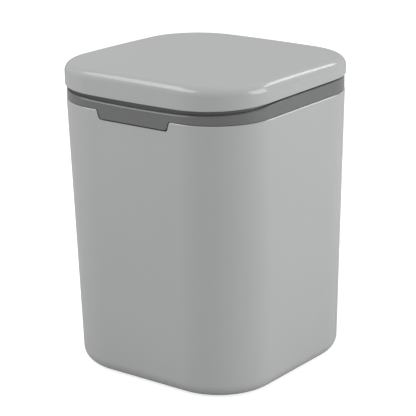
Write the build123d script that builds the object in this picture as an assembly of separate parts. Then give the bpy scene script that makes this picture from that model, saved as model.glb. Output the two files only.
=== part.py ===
from build123d import *
import os
from math import asin, cos, hypot, pi, radians, sin, sqrt

# Push-top countertop bin, in millimetres.
# The origin is the centre of the base on the worktop, +Z is up, the front with the tab faces -Y,
# and the lid's hinge runs along X at the back. The lid is closed and the catch is released.

# ---------------------------------------------------------------- driving dimensions
past = 1.0                  # how far a cutter runs past the face that it cuts

# Bucket
width = 150.0               # over the rim, along X
depth = 150.0               # over the rim, along Y
rim_height = 178.5          # worktop to rim
draft = 3.3                 # how far each wall leans in from rim to base
rim_corner = 40.0
base_corner = 40.5
base_edge_round = 9.0
bucket_wall = 1.8
bucket_floor = 2.2

# Foot pads
pad_radius = 7.0
pad_thickness = 1.6
pad_proud = 0.25            # how far a pad stands out of the base
pad_inset = 32.0            # pad centre to the rim's outline, along X and Y
pad_chamfer = 0.3

# Collar
seat_gap = 0.25             # shadow line between rim and band
band_height = 7.65          # band at the sides, above the shadow line
band_wall = 2.0
band_round = 0.6
dip_depth = 3.4             # how much lower the band's top is at the front
dip_length = 36.0           # how far back the dip reaches
dip_overrun = 8.0           # its curve carries on in front of the band
ledge_thickness = 2.0
upstand_inset = 5.7         # band face to upstand face
upstand_wall = 2.0
upstand_height = 3.2        # above the band's top at the sides
skirt_gap = 0.8             # collar skirt to bucket wall
skirt_wall = 1.8
skirt_depth = 18.5          # below the rim
skirt_lead_in = 0.7
tab_width = 57.0            # at the rim
tab_foot_width = 50.0
tab_depth = 6.0             # below the rim
tab_corner = 3.0
tab_clearance = 0.4
notch_cutter_depth = 2.0    # notch's cutter behind the bucket's wall

# Lid
lid_gap = 1.3               # band to lid at the sides
lid_overhang = 0.7
lid_skirt_height = 7.0      # straight part of the lid's edge, halfway back
lid_top_round = 5.7
lid_crown = 1.0
lid_fall = 3.3              # lid's top from front to back
lid_wall = 2.0
lid_lower_round = 0.4
liner_rise = 3.8            # lid's lower edge to the liner's underside
liner_thickness = 1.5
liner_clearance = 0.25
liner_rim_wall = 1.4
liner_rim_height = 1.6
post_bite = 0.6             # screw posts into the lid's ceiling
plug_wall = 1.6
plug_depth = 3.9
seal_band = 1.0
seal_lip = 0.55
seal_lip_height = 0.6
seal_height = 3.0
seal_clearance = 0.35       # seal lip to upstand

# Hinge
axis_behind = 2.0           # hinge axis behind the band's rear face
axis_below_lid = 0.7        # hinge axis below the lid's lower edge
barrel_radius = 3.6
pin_radius = 1.25
pin_grip = 0.03             # pin in the collar's ears
pin_play = 0.10             # pin in the lid's knuckles
ear_width = 8.0
knuckle_width = 10.0
hinge_side_gap = 0.3
hinge_turn_gap = 0.4        # round the barrels
pin_chamfer = 0.25
web_bite = 0.2              # hinge webs into the walls that carry them
web_foot = 0.6              # ear's web above the shadow line
web_flank = 0.92            # where a web meets its barrel, behind the axis, in radii
web_rise = 0.4              # and above or below it
stop_reach = 6.4            # stop nose behind the axis
stop_rise = 1.0             # stop nose above the axis
stop_drop = 2.52            # and below it
stop_round = 0.8

# Lid spring
spring_wire = 1.0
spring_radius = 2.6         # to the middle of the wire
spring_turns = 9
spring_pocket = 18.8        # room between the knuckles
spring_end_room = 1.1       # at each end of the coil, where the legs lean out
lower_leg_angle = 25.0      # legs against the horizontal
upper_leg_angle = 10.0
lower_leg = 7.6
upper_leg = 5.8
leg_hole_gap = 0.4
leg_end_room = 0.6          # lower leg's end to its hole's
coil_room = 1.9             # round the coil, in the lid's edge

# Catch, in the front of the collar
catch_inset = 15.5          # catch centre to the band's front face
striker_plate = 1.5
striker_length = 26.0
striker_width = 8.0
striker_plate_round = 2.0
striker_screw_offset = 10.0
head_half = 2.4             # striker's arrow head, along X
head_width = 4.0            # and along Y
neck_half = 1.0
neck_length = 8.7
head_shoulder = 0.8
head_taper = 2.7
nose_half = 0.9
catch_stroke = 4.0          # plunger, from released down to latched
jaw_swing = 16.0            # each jaw over that stroke, in degrees
hook_gap = 0.3              # hooks over the striker's shoulders when latched
hook_height = 1.5
hook_reach = 1.5
hook_tip_height = 0.5       # blunt tip, as a share of the hook's height
hook_top_reach = 0.4        # hook's top edge, as a share of its reach
jaw_arm = 6.5               # jaw pin to the hook's underside
jaw_arm_half = 1.0
jaw_width = 4.4
jaw_pin_offset = 3.8
jaw_pin_radius = 0.5
jaw_pin_grip = 0.01         # pin in the plunger's cheeks
jaw_pin_play = 0.05         # pin in the jaws
jaw_eye_radius = 1.1
slot_clearance = 0.3
plunger_half_x = 5.3
plunger_half_y = 3.6
plunger_cheek = 1.5         # above the jaw pins
slot_floor = 2.8            # below the jaw pins
plunger_foot = 8.0          # below the slot
plunger_clearance = 0.3
mouth_depth = 0.4           # hooks below the case's mouth when latched
mouth_flare = 1.1
mouth_flare_depth = 3.0
case_wall = 1.4
case_rear_wall = 2.4
flange_thickness = 1.5
flange_length = 30.0
flange_round = 2.5
case_drop = 27.0            # mouth to the case's lower end
cap_thickness = 1.5
cap_plug = 1.5
cap_spigot_radius = 1.2
cap_spigot_height = 3.0
cap_clearance = 0.1
catch_wire = 0.5
catch_spring_radius = 1.75
catch_spring_turns = 7
catch_bore_radius = 2.3
catch_bore_depth = 3.5
track_wire = 0.8
track_bend = 0.7
track_width = 1.4
track_groove = 0.8
track_gap = 0.3             # wire to the groove's floor and to the channel
channel_play = 0.6          # channel behind the wire
hook_length = 1.2           # wire's lower end into the case
loop_offset = 0.7           # side branch of the cam track to its middle
track_tip_above_foot = 2.0
track_side_step = 2.0
shelf_thickness = 2.0
shelf_half_width = 17.0
shelf_reach = 9.0           # behind the catch centre
gusset_thickness = 1.6
gusset_drop = 12.0
gusset_lip = 1.0            # gusset's height at the shelf's rear edge

# Screws
screw_shank_radius = 1.35
screw_play = 0.05
screw_head_radius = 2.7
screw_head_height = 1.6
screw_slot_width = 0.8
screw_slot_depth = 0.7
screw_slot_length = 1.3     # in head radii
boss_radius = 3.4
liner_screw_inset_x = 26.0
liner_screw_inset_y = 26.0
screw_tip_room = 0.3         # liner's screw holes past the screws' tips
liner_screw_grip = 4.0      # above the liner
small_head_radius = 2.2
small_head_height = 1.4
small_shank_radius = 1.0
small_boss_radius = 2.6
striker_screw_grip = 4.5
striker_screw_short = 0.5   # screw's tip below its boss's top
catch_screw_offset = 11.5
catch_screw_grip = 6.0
catch_bore_past = 0.4       # bore below the screw's tip

# ---------------------------------------------------------------- places worked out from them
base_z = pad_proud
seat_z = rim_height + seat_gap
band_top = seat_z + band_height
upstand_top = band_top + upstand_height
lid_bottom = band_top + lid_gap
lid_edge_top = lid_bottom + lid_skirt_height + lid_top_round
liner_z = lid_bottom + liner_rise
axis_y = depth / 2 + axis_behind
axis_z = lid_bottom - axis_below_lid
catch_y = -depth / 2 + catch_inset
skirt_inset = bucket_wall + skirt_gap
upstand_inner_inset = upstand_inset + upstand_wall
lid_inner_inset = lid_wall - lid_overhang
plug_inset = upstand_inner_inset + seal_clearance + seal_lip + seal_band

knuckle_inner = spring_pocket / 2 + hinge_side_gap
knuckle_outer = knuckle_inner + knuckle_width
ear_inner = knuckle_outer + hinge_side_gap
ear_outer = ear_inner + ear_width

shoulder_z = liner_z - striker_plate - neck_length
jaw_pin_latched_z = shoulder_z + hook_gap - jaw_arm
jaw_pin_z = jaw_pin_latched_z + catch_stroke
mouth_z = shoulder_z + hook_gap + hook_height + mouth_depth
slot_floor_z = jaw_pin_z - slot_floor
plunger_foot_z = slot_floor_z - plunger_foot
case_foot_z = mouth_z - case_drop
shelf_top = mouth_z - flange_thickness


# ---------------------------------------------------------------- shared shapes
def outline(inset):
    """Rounded outline of the bin, moved in from the rim's outer face."""
    return RectangleRounded(width - 2 * inset, depth - 2 * inset, rim_corner - inset)


def block(inset, low, high):
    return Pos(0, 0, low) * extrude(outline(inset), high - low)


def ring(outer_inset, inner_inset, low, high):
    return block(outer_inset, low, high) - block(inner_inset, low, high)


def box(x_range, y_range, z_range):
    """Box between pairs of X, Y and Z values."""
    middle = [(pair[0] + pair[1]) / 2 for pair in (x_range, y_range, z_range)]
    size = [pair[1] - pair[0] for pair in (x_range, y_range, z_range)]
    return Pos(*middle) * Box(*size)


def rod_x(radius, x_low, x_high, y=axis_y, z=axis_z):
    """Round rod along X, at first round the hinge axis."""
    return Pos((x_low + x_high) / 2, y, z) * Rot(0, 90, 0) * Cylinder(radius, x_high - x_low)


def rod_y(radius, x, y_low, y_high, z):
    return Pos(x, (y_low + y_high) / 2, z) * Rot(90, 0, 0) * Cylinder(radius, y_high - y_low)


def rod_z(radius, x, y, low, high):
    return Pos(x, y, (low + high) / 2) * Cylinder(radius, high - low)


def side_prism(points, x_low, x_high):
    """Prism along X from (y, z) points."""
    face = make_face(Polyline(*[(x_low, y, z) for y, z in points], close=True))
    return extrude(face, amount=x_high - x_low, dir=(1, 0, 0))


def front_prism(points, y_low, y_high):
    """Prism along Y from (x, z) points."""
    face = make_face(Polyline(*[(x, y_low, z) for x, z in points], close=True))
    return extrude(face, amount=y_high - y_low, dir=(0, 1, 0))


def edges_near(part, low, high):
    """Edges whose whole box lies between two heights."""
    return [
        edge for edge in part.edges()
        if edge.bounding_box().min.Z >= low and edge.bounding_box().max.Z <= high
    ]


def pan_screw(x, y, head_z, head_radius, head_height, shank_radius, grip):
    """Cross-slotted screw driven upwards, its head's bearing face at head_z."""
    head = rod_z(head_radius, x, y, head_z - head_height, head_z)
    head = fillet(head.edges().group_by(Axis.Z)[0], head_height / 2)
    shank = rod_z(shank_radius, x, y, head_z, head_z + grip)
    slot_z = head_z - head_height + screw_slot_depth / 2
    slot = Box(head_radius * screw_slot_length, screw_slot_width, screw_slot_depth)
    cross = Pos(x, y, slot_z) * (slot + Rot(0, 0, 90) * slot)
    return head + shank - cross


def flipped_screw(x, y, head_z, head_radius, head_height, shank_radius, grip):
    """The same screw, driven downwards."""
    screw = pan_screw(0, 0, 0, head_radius, head_height, shank_radius, grip)
    return Pos(x, y, head_z) * Rot(180, 0, 0) * screw


# ---------------------------------------------------------------- wound springs
def biarc(start, start_way, end, end_way):
    """Two arcs that join two points with the given directions, without a kink."""
    gap = end - start
    both = start_way + end_way
    spread = 2 * (1 - start_way.dot(end_way))
    reach = (-gap.dot(both) + sqrt(gap.dot(both) ** 2 + spread * gap.dot(gap))) / spread
    first = start + start_way * reach
    last = end - end_way * reach
    middle = (first + last) * 0.5
    return [
        TangentArc(start, middle, tangent=start_way),
        TangentArc(middle, end, tangent=(last - first).normalized()),
    ]


def helix_point(radius, pitch, start_angle, angle):
    """Point and direction on a helix along +Z, by angle in radians from its start."""
    turn = start_angle + angle
    point = Vector(radius * cos(turn), radius * sin(turn), pitch * angle / (2 * pi))
    way = Vector(-radius * sin(turn), radius * cos(turn), pitch / (2 * pi)).normalized()
    return point, way


def helix_edges(radius, pitch, start_angle, sweep_angle):
    """A helix as biarcs of about a quarter turn each."""
    count = max(1, round(sweep_angle / (pi / 2)))
    stations = [helix_point(radius, pitch, start_angle, sweep_angle * i / count) for i in range(count + 1)]
    edges = []
    for (start, start_way), (end, end_way) in zip(stations, stations[1:]):
        edges += biarc(start, start_way, end, end_way)
    return edges


def wire_tube(edges, wire_diameter):
    """Round wire along joined edges."""
    path = Wire(edges)
    section = Plane(path @ 0, z_dir=path % 0) * Circle(wire_diameter / 2)
    return sweep(section, path=path)


def coil_gap(radius, pitch, sweep_angle, wire_diameter):
    """Least distance between a coil's turns, measured on points along its wire."""
    steps_per_turn = 48
    count = round(sweep_angle / (2 * pi) * steps_per_turn)
    points = [helix_point(radius, pitch, 0, sweep_angle * i / count)[0] for i in range(count + 1)]
    between_turns = steps_per_turn // 2
    gaps = [
        (points[i] - points[j]).length - wire_diameter
        for i in range(len(points)) for j in range(i + between_turns, len(points))
    ]
    return round(min(gaps), 3)


# ---------------------------------------------------------------- bucket
def bucket_shell():
    base = Pos(0, 0, base_z) * RectangleRounded(width - 2 * draft, depth - 2 * draft, base_corner)
    rim = Pos(0, 0, rim_height) * outline(0)
    outside = loft([base, rim], ruled=True)
    outside = fillet(edges_near(outside, base_z - 0.01, base_z + 0.01), base_edge_round)
    floor_z = base_z + bucket_floor
    lean = draft * (1 - bucket_floor / (rim_height - base_z)) + bucket_wall
    inner_base = RectangleRounded(width - 2 * lean, depth - 2 * lean, base_corner - bucket_wall)
    inner_rim = Pos(0, 0, rim_height) * outline(bucket_wall)
    inside = loft([Pos(0, 0, floor_z) * inner_base, inner_rim], ruled=True)
    inside = fillet(edges_near(inside, floor_z - 0.01, floor_z + 0.01), base_edge_round - bucket_wall)
    notch_rear = -depth / 2 + bucket_wall + notch_cutter_depth
    shell = outside - inside - tab_prism(tab_clearance, -depth / 2 - past, notch_rear)
    for x, y in pad_places():
        shell -= rod_z(pad_radius, x, y, base_z - past, pad_thickness)
    return shell


def pad_places():
    reach_x = width / 2 - pad_inset
    reach_y = depth / 2 - pad_inset
    return [(-reach_x, -reach_y), (reach_x, -reach_y), (-reach_x, reach_y), (reach_x, reach_y)]


def foot_pad(x, y):
    pad = rod_z(pad_radius, x, y, 0, pad_thickness)
    return chamfer(pad.edges().group_by(Axis.Z)[0], pad_chamfer)


def tab_prism(grow, y_low, y_high):
    """The tab's outline, or with growth the notch that takes it, along Y."""
    slope = (tab_width - tab_foot_width) / 2 / tab_depth
    top = rim_height + seat_gap + ledge_thickness
    half_top = tab_width / 2 + slope * (top - rim_height) + grow
    half_foot = tab_foot_width / 2 + grow
    foot = rim_height - tab_depth - grow
    corners = [(-half_top, top), (half_top, top), (half_foot, foot), (-half_foot, foot)]
    prism = front_prism(corners, y_low, y_high)
    return fillet(prism.edges().filter_by(Axis.Y).group_by(Axis.Z)[0], tab_corner)


# ---------------------------------------------------------------- collar
def above_dip(shift):
    """Everything above the band's top surface, which sweeps down towards the front."""
    dip_radius = (dip_length ** 2 + dip_depth ** 2) / (2 * dip_depth)
    dip_start = -depth / 2 + dip_length
    top = band_top + shift
    sky = band_top + upstand_height + lid_gap
    turn = asin((dip_length + dip_overrun) / dip_radius)
    points = []
    for share in (1, 0.5, 0):
        angle = turn * share
        drop = dip_radius * (1 - cos(angle))
        points.append((0, dip_start - dip_radius * sin(angle), top - drop))
    front = points[0][1]
    edge = [
        ThreePointArc(*points),
        Line((0, dip_start, top), (0, depth, top)),
        Line((0, depth, top), (0, depth, sky)),
        Line((0, depth, sky), (0, front, sky)),
        Line((0, front, sky), points[0]),
    ]
    return extrude(make_face(edge), amount=width, dir=(1, 0, 0), both=True)


def hinge_ear(side):
    """Ear with its web to the band, and the nose that stops the open lid."""
    low, high = sorted((side * ear_inner, side * ear_outer))
    rear = depth / 2
    web = [
        (rear - band_wall / 2, seat_z + web_foot),
        (rear + web_bite, seat_z + web_foot),
        (axis_y + barrel_radius * web_flank, axis_z - barrel_radius * web_rise),
        (axis_y, axis_z),
        (rear - band_wall / 2, band_top - web_bite),
    ]
    nose = box((low, high), (axis_y, axis_y + stop_reach), (axis_z - stop_drop, axis_z + stop_rise))
    nose = fillet(nose.edges().filter_by(Axis.X).group_by(Axis.Y)[-1], stop_round)
    return rod_x(barrel_radius, low, high) + side_prism(web, low, high) + nose


def catch_hole(grow):
    """Outline of the catch's case, to pass through the shelf."""
    half_x = plunger_half_x + plunger_clearance + case_wall + grow
    front = catch_y - plunger_half_y - plunger_clearance - case_wall - grow
    rear = catch_y + plunger_half_y + plunger_clearance + case_rear_wall + grow
    return (-half_x, half_x), (front, rear)


def collar_ring():
    deep = band_top - dip_depth - ledge_thickness
    body = block(0, seat_z, band_top) - above_dip(0)
    lip = [edge for edge in edges_near(body, deep, band_top + 0.1) if edge_inset(edge) < 0.1]
    body = fillet(lip, band_round)
    body -= block(upstand_inner_inset, seat_z - past, band_top + past)
    under_ledge = ring(skirt_inset + skirt_wall, upstand_inner_inset + past, seat_z - past, band_top)
    bag_slot = ring(band_wall, skirt_inset, seat_z - past, band_top)
    body -= (under_ledge + bag_slot) - above_dip(-ledge_thickness)
    body += ring(upstand_inset, upstand_inner_inset, deep, upstand_top)
    skirt_foot = rim_height - skirt_depth
    skirt = ring(skirt_inset, skirt_inset + skirt_wall, skirt_foot, band_top - ledge_thickness / 2)
    skirt = chamfer(edges_near(skirt, skirt_foot - 0.01, skirt_foot + 0.01), skirt_lead_in)
    body += skirt - above_dip(-ledge_thickness / 2)
    tab = tab_prism(0, -depth / 2, -depth / 2 + skirt_inset + skirt_wall / 2)
    body += tab - above_dip(-ledge_thickness / 2)
    body += catch_shelf()
    for side in (-1, 1):
        body += hinge_ear(side)
    knuckle_room = barrel_radius + hinge_turn_gap
    body -= rod_x(knuckle_room, -ear_inner, ear_inner)
    body -= rod_x(pin_radius + pin_grip, -ear_outer - past, ear_outer + past)
    body -= lower_leg_hole()
    return body


def edge_inset(edge):
    """How far an edge lies inside the rim's outline, from its middle point."""
    middle = edge @ 0.5
    side_x = abs(middle.X) - (width / 2 - rim_corner)
    side_y = abs(middle.Y) - (depth / 2 - rim_corner)
    if side_x > 0 and side_y > 0:
        return rim_corner - hypot(side_x, side_y)
    return rim_corner - max(side_x, side_y)


def catch_shelf():
    """Shelf behind the front upstand, with its gussets and the bosses for two screws."""
    front = -depth / 2 + skirt_inset + skirt_wall / 2
    rear = catch_y + shelf_reach
    low = shelf_top - shelf_thickness
    shelf = box((-shelf_half_width, shelf_half_width), (front, rear), (low, shelf_top))
    for side in (-1, 1):
        x = side * (shelf_half_width - gusset_thickness / 2)
        half = gusset_thickness / 2
        web = [(front, low), (rear, low), (rear, low - gusset_lip), (front, low - gusset_drop)]
        shelf += side_prism(web, x - half, x + half)
        boss_foot = shelf_top - catch_screw_grip - 2 * catch_bore_past
        shelf += rod_z(small_boss_radius, side * catch_screw_offset, catch_y, boss_foot, shelf_top)
    hole_x, hole_y = catch_hole(plunger_clearance)
    shelf -= box(hole_x, hole_y, (low - catch_screw_grip, shelf_top + past))
    bore = small_shank_radius + screw_play
    bore_foot = shelf_top - catch_screw_grip - catch_bore_past
    for side in (-1, 1):
        shelf -= rod_z(bore, side * catch_screw_offset, catch_y, bore_foot, shelf_top + past)
    return shelf


# ---------------------------------------------------------------- hinge
def hinge_pin():
    pin = rod_x(pin_radius, -ear_outer, ear_outer)
    return chamfer(pin.edges().filter_by(GeomType.CIRCLE), pin_chamfer)


def spring_place():
    """Turns the +Z helix to run along +X: its start angle is then counted from +Y to +Z."""
    return Location(Plane(origin=(0, axis_y, axis_z), x_dir=(0, 1, 0), z_dir=(1, 0, 0)))


def spring_angles():
    """Angles where the wire leaves the coil, so that its legs point forward."""
    start = radians(-90 + lower_leg_angle)
    end = radians(90 - upper_leg_angle)
    return start, end - start + 2 * pi * spring_turns


def spring_span():
    return spring_pocket - spring_wire - 2 * spring_end_room


def lid_spring():
    start, sweep_angle = spring_angles()
    pitch = spring_span() / (sweep_angle / (2 * pi))
    coil = helix_edges(spring_radius, pitch, start, sweep_angle)
    first, first_way = helix_point(spring_radius, pitch, start, 0)
    last, last_way = helix_point(spring_radius, pitch, start, sweep_angle)
    edges = [Line(first - first_way * lower_leg, first)] + coil + [Line(last, last + last_way * upper_leg)]
    tube = wire_tube(edges, spring_wire)
    print("lid spring, least gap to itself", coil_gap(spring_radius, pitch, sweep_angle, spring_wire), "mm")
    return spring_place() * Pos(0, 0, -spring_span() / 2) * tube


def lower_leg_hole():
    """Hole in the band's rear wall that takes the spring's lower leg."""
    start, sweep_angle = spring_angles()
    pitch = spring_span() / (sweep_angle / (2 * pi))
    first, first_way = helix_point(spring_radius, pitch, start, 0)
    length = lower_leg + leg_end_room
    hole = Plane(first - first_way * length, z_dir=first_way) * Circle(spring_wire / 2 + leg_hole_gap)
    return spring_place() * Pos(0, 0, -spring_span() / 2) * extrude(hole, length)


# ---------------------------------------------------------------- lid
def domed_block(inset, low, edge_top, round_radius):
    """Block with a crowned top that falls towards the back, and a soft top edge."""
    half = max(width, depth) / 2 - inset
    dome_radius = (half ** 2 + lid_crown ** 2) / (2 * lid_crown)
    dome_y = -dome_radius * lid_fall / depth
    dome_z = edge_top + lid_crown - sqrt(dome_radius ** 2 - dome_y ** 2)
    above = edge_top + lid_crown + lid_fall + past
    body = block(inset, low, above)
    body &= Pos(0, dome_y, dome_z) * Sphere(dome_radius)
    return fillet(edges_near(body, (low + edge_top) / 2, above), round_radius)


def lid_rise(y):
    """How much higher the lid's top lies at y than halfway back."""
    return -lid_fall * y / depth


def lid_knuckle(side):
    low, high = sorted((side * knuckle_inner, side * knuckle_outer))
    rear_face = depth / 2 + lid_overhang
    web_top = lid_bottom + lid_skirt_height + lid_rise(depth / 2)
    web = [
        (rear_face - lid_wall + web_bite, axis_z + stop_rise),
        (rear_face - lid_wall + web_bite, web_top),
        (rear_face, web_top),
        (axis_y + barrel_radius * web_flank, axis_z + barrel_radius * web_rise),
        (axis_y, axis_z),
    ]
    return rod_x(barrel_radius, low, high) + side_prism(web, low, high)


def lid_shell():
    shell = domed_block(-lid_overhang, lid_bottom, lid_edge_top, lid_top_round)
    shell = fillet(edges_near(shell, lid_bottom - 0.01, lid_bottom + 0.01), lid_lower_round)
    cavity_round = lid_top_round - lid_wall
    shell -= domed_block(lid_inner_inset, lid_bottom - past, lid_edge_top - lid_wall, cavity_round)
    ceiling = lid_edge_top - lid_wall
    screw_end = liner_z + liner_thickness + liner_screw_grip + screw_tip_room
    for x, y in liner_screw_places():
        post = rod_z(boss_radius, x, y, liner_z + liner_thickness, ceiling + lid_rise(y) + post_bite)
        shell += post - rod_z(screw_shank_radius + screw_play, x, y, liner_z, screw_end)
    for side in (-1, 1):
        shell += lid_knuckle(side)
        near, far = sorted((side * knuckle_outer, side * (ear_outer + hinge_side_gap)))
        shell -= rod_x(barrel_radius + hinge_turn_gap, near, far)
    shell -= rod_x(spring_radius + spring_wire / 2 + coil_room, -knuckle_inner, knuckle_inner)
    shell -= rod_x(pin_radius + pin_play, -knuckle_outer - past, knuckle_outer + past)
    return shell


def liner_screw_places():
    reach_x = width / 2 - liner_screw_inset_x
    reach_y = depth / 2 - liner_screw_inset_y
    return [(x, y) for x in (-reach_x, reach_x) for y in (-reach_y, reach_y)]


def lid_liner():
    edge = lid_inner_inset + liner_clearance
    top = liner_z + liner_thickness
    pan = block(edge, liner_z, top)
    pan += ring(edge, edge + liner_rim_wall, top, top + liner_rim_height)
    pan += ring(plug_inset, plug_inset + plug_wall, liner_z - plug_depth, liner_z)
    for side in (-1, 1):
        x = side * striker_screw_offset
        boss_top = liner_z + striker_screw_grip
        pan += rod_z(small_boss_radius, x, catch_y, top, boss_top)
        pan -= rod_z(small_shank_radius + screw_play, x, catch_y, liner_z - past, boss_top + past)
    for x, y in liner_screw_places():
        pan -= rod_z(screw_shank_radius + screw_play, x, y, liner_z - past, top + past)
    return pan


def liner_screws():
    grip = liner_thickness + liner_screw_grip
    return [
        pan_screw(x, y, liner_z, screw_head_radius, screw_head_height, screw_shank_radius, grip)
        for x, y in liner_screw_places()
    ]


def lid_seal():
    """Ring round the liner's plug, with a thin lip towards the upstand."""
    low = liner_z - seal_height
    outer = plug_inset - seal_band
    lip_low = liner_z - (seal_height + seal_lip_height) / 2
    lip = ring(outer - seal_lip, plug_inset, lip_low, lip_low + seal_lip_height)
    return ring(outer, plug_inset, low, liner_z) + lip


# ---------------------------------------------------------------- catch
def lid_striker():
    plate_low = liner_z - striker_plate
    half_length = striker_length / 2
    sides = (catch_y - striker_width / 2, catch_y + striker_width / 2)
    plate = box((-half_length, half_length), sides, (plate_low, liner_z))
    plate = fillet(plate.edges().filter_by(Axis.Z), striker_plate_round)
    head_low = shoulder_z - head_shoulder
    arrow = [
        (-neck_half, plate_low),
        (-neck_half, shoulder_z),
        (-head_half, shoulder_z),
        (-head_half, head_low),
        (-nose_half, head_low - head_taper),
        (nose_half, head_low - head_taper),
        (head_half, head_low),
        (head_half, shoulder_z),
        (neck_half, shoulder_z),
        (neck_half, plate_low),
    ]
    striker = plate + front_prism(arrow, catch_y - head_width / 2, catch_y + head_width / 2)
    bore = small_shank_radius + screw_play
    for side in (-1, 1):
        striker -= rod_z(bore, side * striker_screw_offset, catch_y, plate_low - past, liner_z + past)
    return striker


def striker_screws():
    grip = striker_plate + striker_screw_grip - striker_screw_short
    head_z = liner_z - striker_plate
    return [
        pan_screw(side * striker_screw_offset, catch_y, head_z, small_head_radius, small_head_height,
                  small_shank_radius, grip)
        for side in (-1, 1)
    ]


def catch_case():
    """Case with a flange, a flared mouth that closes the jaws, and a channel for the track pin."""
    case_x, case_y = catch_hole(0)
    case = box(case_x, case_y, (case_foot_z, mouth_z))
    half_flange = flange_length / 2
    flange = box((-half_flange, half_flange), case_y, (shelf_top, mouth_z))
    case += fillet(flange.edges().filter_by(Axis.Z), flange_round)
    room_x = plunger_half_x + plunger_clearance
    room_y = plunger_half_y + plunger_clearance
    sides = (catch_y - room_y, catch_y + room_y)
    case -= box((-room_x, room_x), sides, (case_foot_z - past, mouth_z + past))
    flare = [
        (-room_x, mouth_z - mouth_flare_depth),
        (room_x, mouth_z - mouth_flare_depth),
        (room_x + mouth_flare, mouth_z),
        (-room_x - mouth_flare, mouth_z),
    ]
    case -= front_prism(flare, *sides)
    channel_rear = catch_y + room_y + track_wire + channel_play
    channel = (case_foot_z + cap_plug, track_tip_z() + track_wire)
    case -= box((-track_width / 2, track_width / 2), (catch_y, channel_rear), channel)
    bore = small_shank_radius + screw_play
    for side in (-1, 1):
        case -= rod_z(bore, side * catch_screw_offset, catch_y, shelf_top - past, mouth_z + past)
    return case


def catch_cap():
    case_x, case_y = catch_hole(0)
    cap = box(case_x, case_y, (case_foot_z - cap_thickness, case_foot_z))
    half_x = plunger_half_x + plunger_clearance - cap_clearance
    half_y = plunger_half_y + plunger_clearance - cap_clearance
    plug_top = case_foot_z + cap_plug
    cap += box((-half_x, half_x), (catch_y - half_y, catch_y + half_y), (case_foot_z, plug_top))
    return cap + rod_z(cap_spigot_radius, 0, catch_y, case_foot_z, plug_top + cap_spigot_height)


def catch_screws():
    return [
        flipped_screw(side * catch_screw_offset, catch_y, mouth_z, small_head_radius, small_head_height,
                      small_shank_radius, flange_thickness + catch_screw_grip)
        for side in (-1, 1)
    ]


def track_tip_z():
    return plunger_foot_z + track_tip_above_foot


def catch_plunger():
    """Carrier: cheeks for the jaw pins, a deep slot for the striker, a spring bore and the cam track."""
    half_x = plunger_half_x
    half_y = plunger_half_y
    sides = (catch_y - half_y, catch_y + half_y)
    body = box((-half_x, half_x), sides, (plunger_foot_z, jaw_pin_z + plunger_cheek))
    slot_half = jaw_width / 2 + slot_clearance
    slot_sides = (catch_y - slot_half, catch_y + slot_half)
    body -= box((-half_x - past, half_x + past), slot_sides, (slot_floor_z, mouth_z))
    body -= rod_z(catch_bore_radius, 0, catch_y, plunger_foot_z - past, plunger_foot_z + catch_bore_depth)
    bore = jaw_pin_radius + jaw_pin_grip
    for side in (-1, 1):
        body -= rod_y(bore, side * jaw_pin_offset, sides[0] - past, sides[1] + past, jaw_pin_z)
    tip = track_tip_z()
    half = track_width / 2
    faces = (catch_y + half_y - track_groove, catch_y + half_y + past)
    body -= box((-half, half), faces, (tip - half, tip + catch_stroke + half))
    loop = [
        (-half, tip - half),
        (-half, tip + half),
        (-track_side_step, tip + catch_stroke / 2),
        (-half, tip + catch_stroke + half),
        (-half, tip + catch_stroke - half),
    ]
    branch = front_prism([(x - loop_offset, z) for x, z in loop], *faces)
    return body - branch


def jaw_pins():
    reach = plunger_half_y
    return [
        rod_y(jaw_pin_radius, side * jaw_pin_offset, catch_y - reach, catch_y + reach, jaw_pin_z)
        for side in (-1, 1)
    ]


def catch_jaw(side):
    """Hooked jaw: drawn closed on the striker's right, then swung open about its pin."""
    arm_top = jaw_arm + hook_height
    half = jaw_width / 2
    hook = [
        (-jaw_arm_half, 0),
        (-jaw_arm_half, jaw_arm),
        (-jaw_arm_half - hook_reach, jaw_arm),
        (-jaw_arm_half - hook_reach, jaw_arm + hook_height * hook_tip_height),
        (-jaw_arm_half - hook_reach * hook_top_reach, arm_top),
        (jaw_arm_half, arm_top),
        (jaw_arm_half, 0),
    ]
    jaw = front_prism(hook, -half, half) + rod_y(jaw_eye_radius, 0, -half, half, 0)
    jaw -= rod_y(jaw_pin_radius + jaw_pin_play, 0, -half - past, half + past, 0)
    jaw = Rot(0, jaw_swing, 0) * jaw
    if side < 0:
        jaw = mirror(jaw, about=Plane.YZ)
    return Pos(side * jaw_pin_offset, catch_y, jaw_pin_z) * jaw


def catch_spring():
    low = case_foot_z + cap_plug
    high = plunger_foot_z + catch_bore_depth
    pitch = (high - low - catch_wire) / catch_spring_turns
    sweep_angle = 2 * pi * catch_spring_turns
    tube = wire_tube(helix_edges(catch_spring_radius, pitch, 0, sweep_angle), catch_wire)
    gap = coil_gap(catch_spring_radius, pitch, sweep_angle, catch_wire)
    print("catch spring, least gap to itself", gap, "mm")
    return Pos(0, catch_y, low + catch_wire / 2) * tube


def track_pin():
    """Bent wire: hooked into the cap's end of the channel, its tip in the plunger's track."""
    room = catch_y + plunger_half_y + plunger_clearance
    stem_y = room + track_wire / 2 + track_gap
    low = case_foot_z + cap_plug + track_wire
    tip = track_tip_z()
    path = FilletPolyline(
        (0, room - hook_length, low),
        (0, stem_y, low),
        (0, stem_y, tip),
        (0, room - plunger_clearance - track_groove + track_gap, tip),
        radius=track_bend,
    )
    section = Plane(path @ 0, z_dir=path % 0) * Circle(track_wire / 2)
    return sweep(section, path=path)


# ---------------------------------------------------------------- sub-parts, one file each
def as_solids(shape):
    """One node's solids as a single shape that can be written."""
    if isinstance(shape, list):
        return Compound(children=[solid for part in shape for solid in part.solids()])
    found = shape.solids()
    return found[0] if len(found) == 1 else Compound(children=found)


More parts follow.
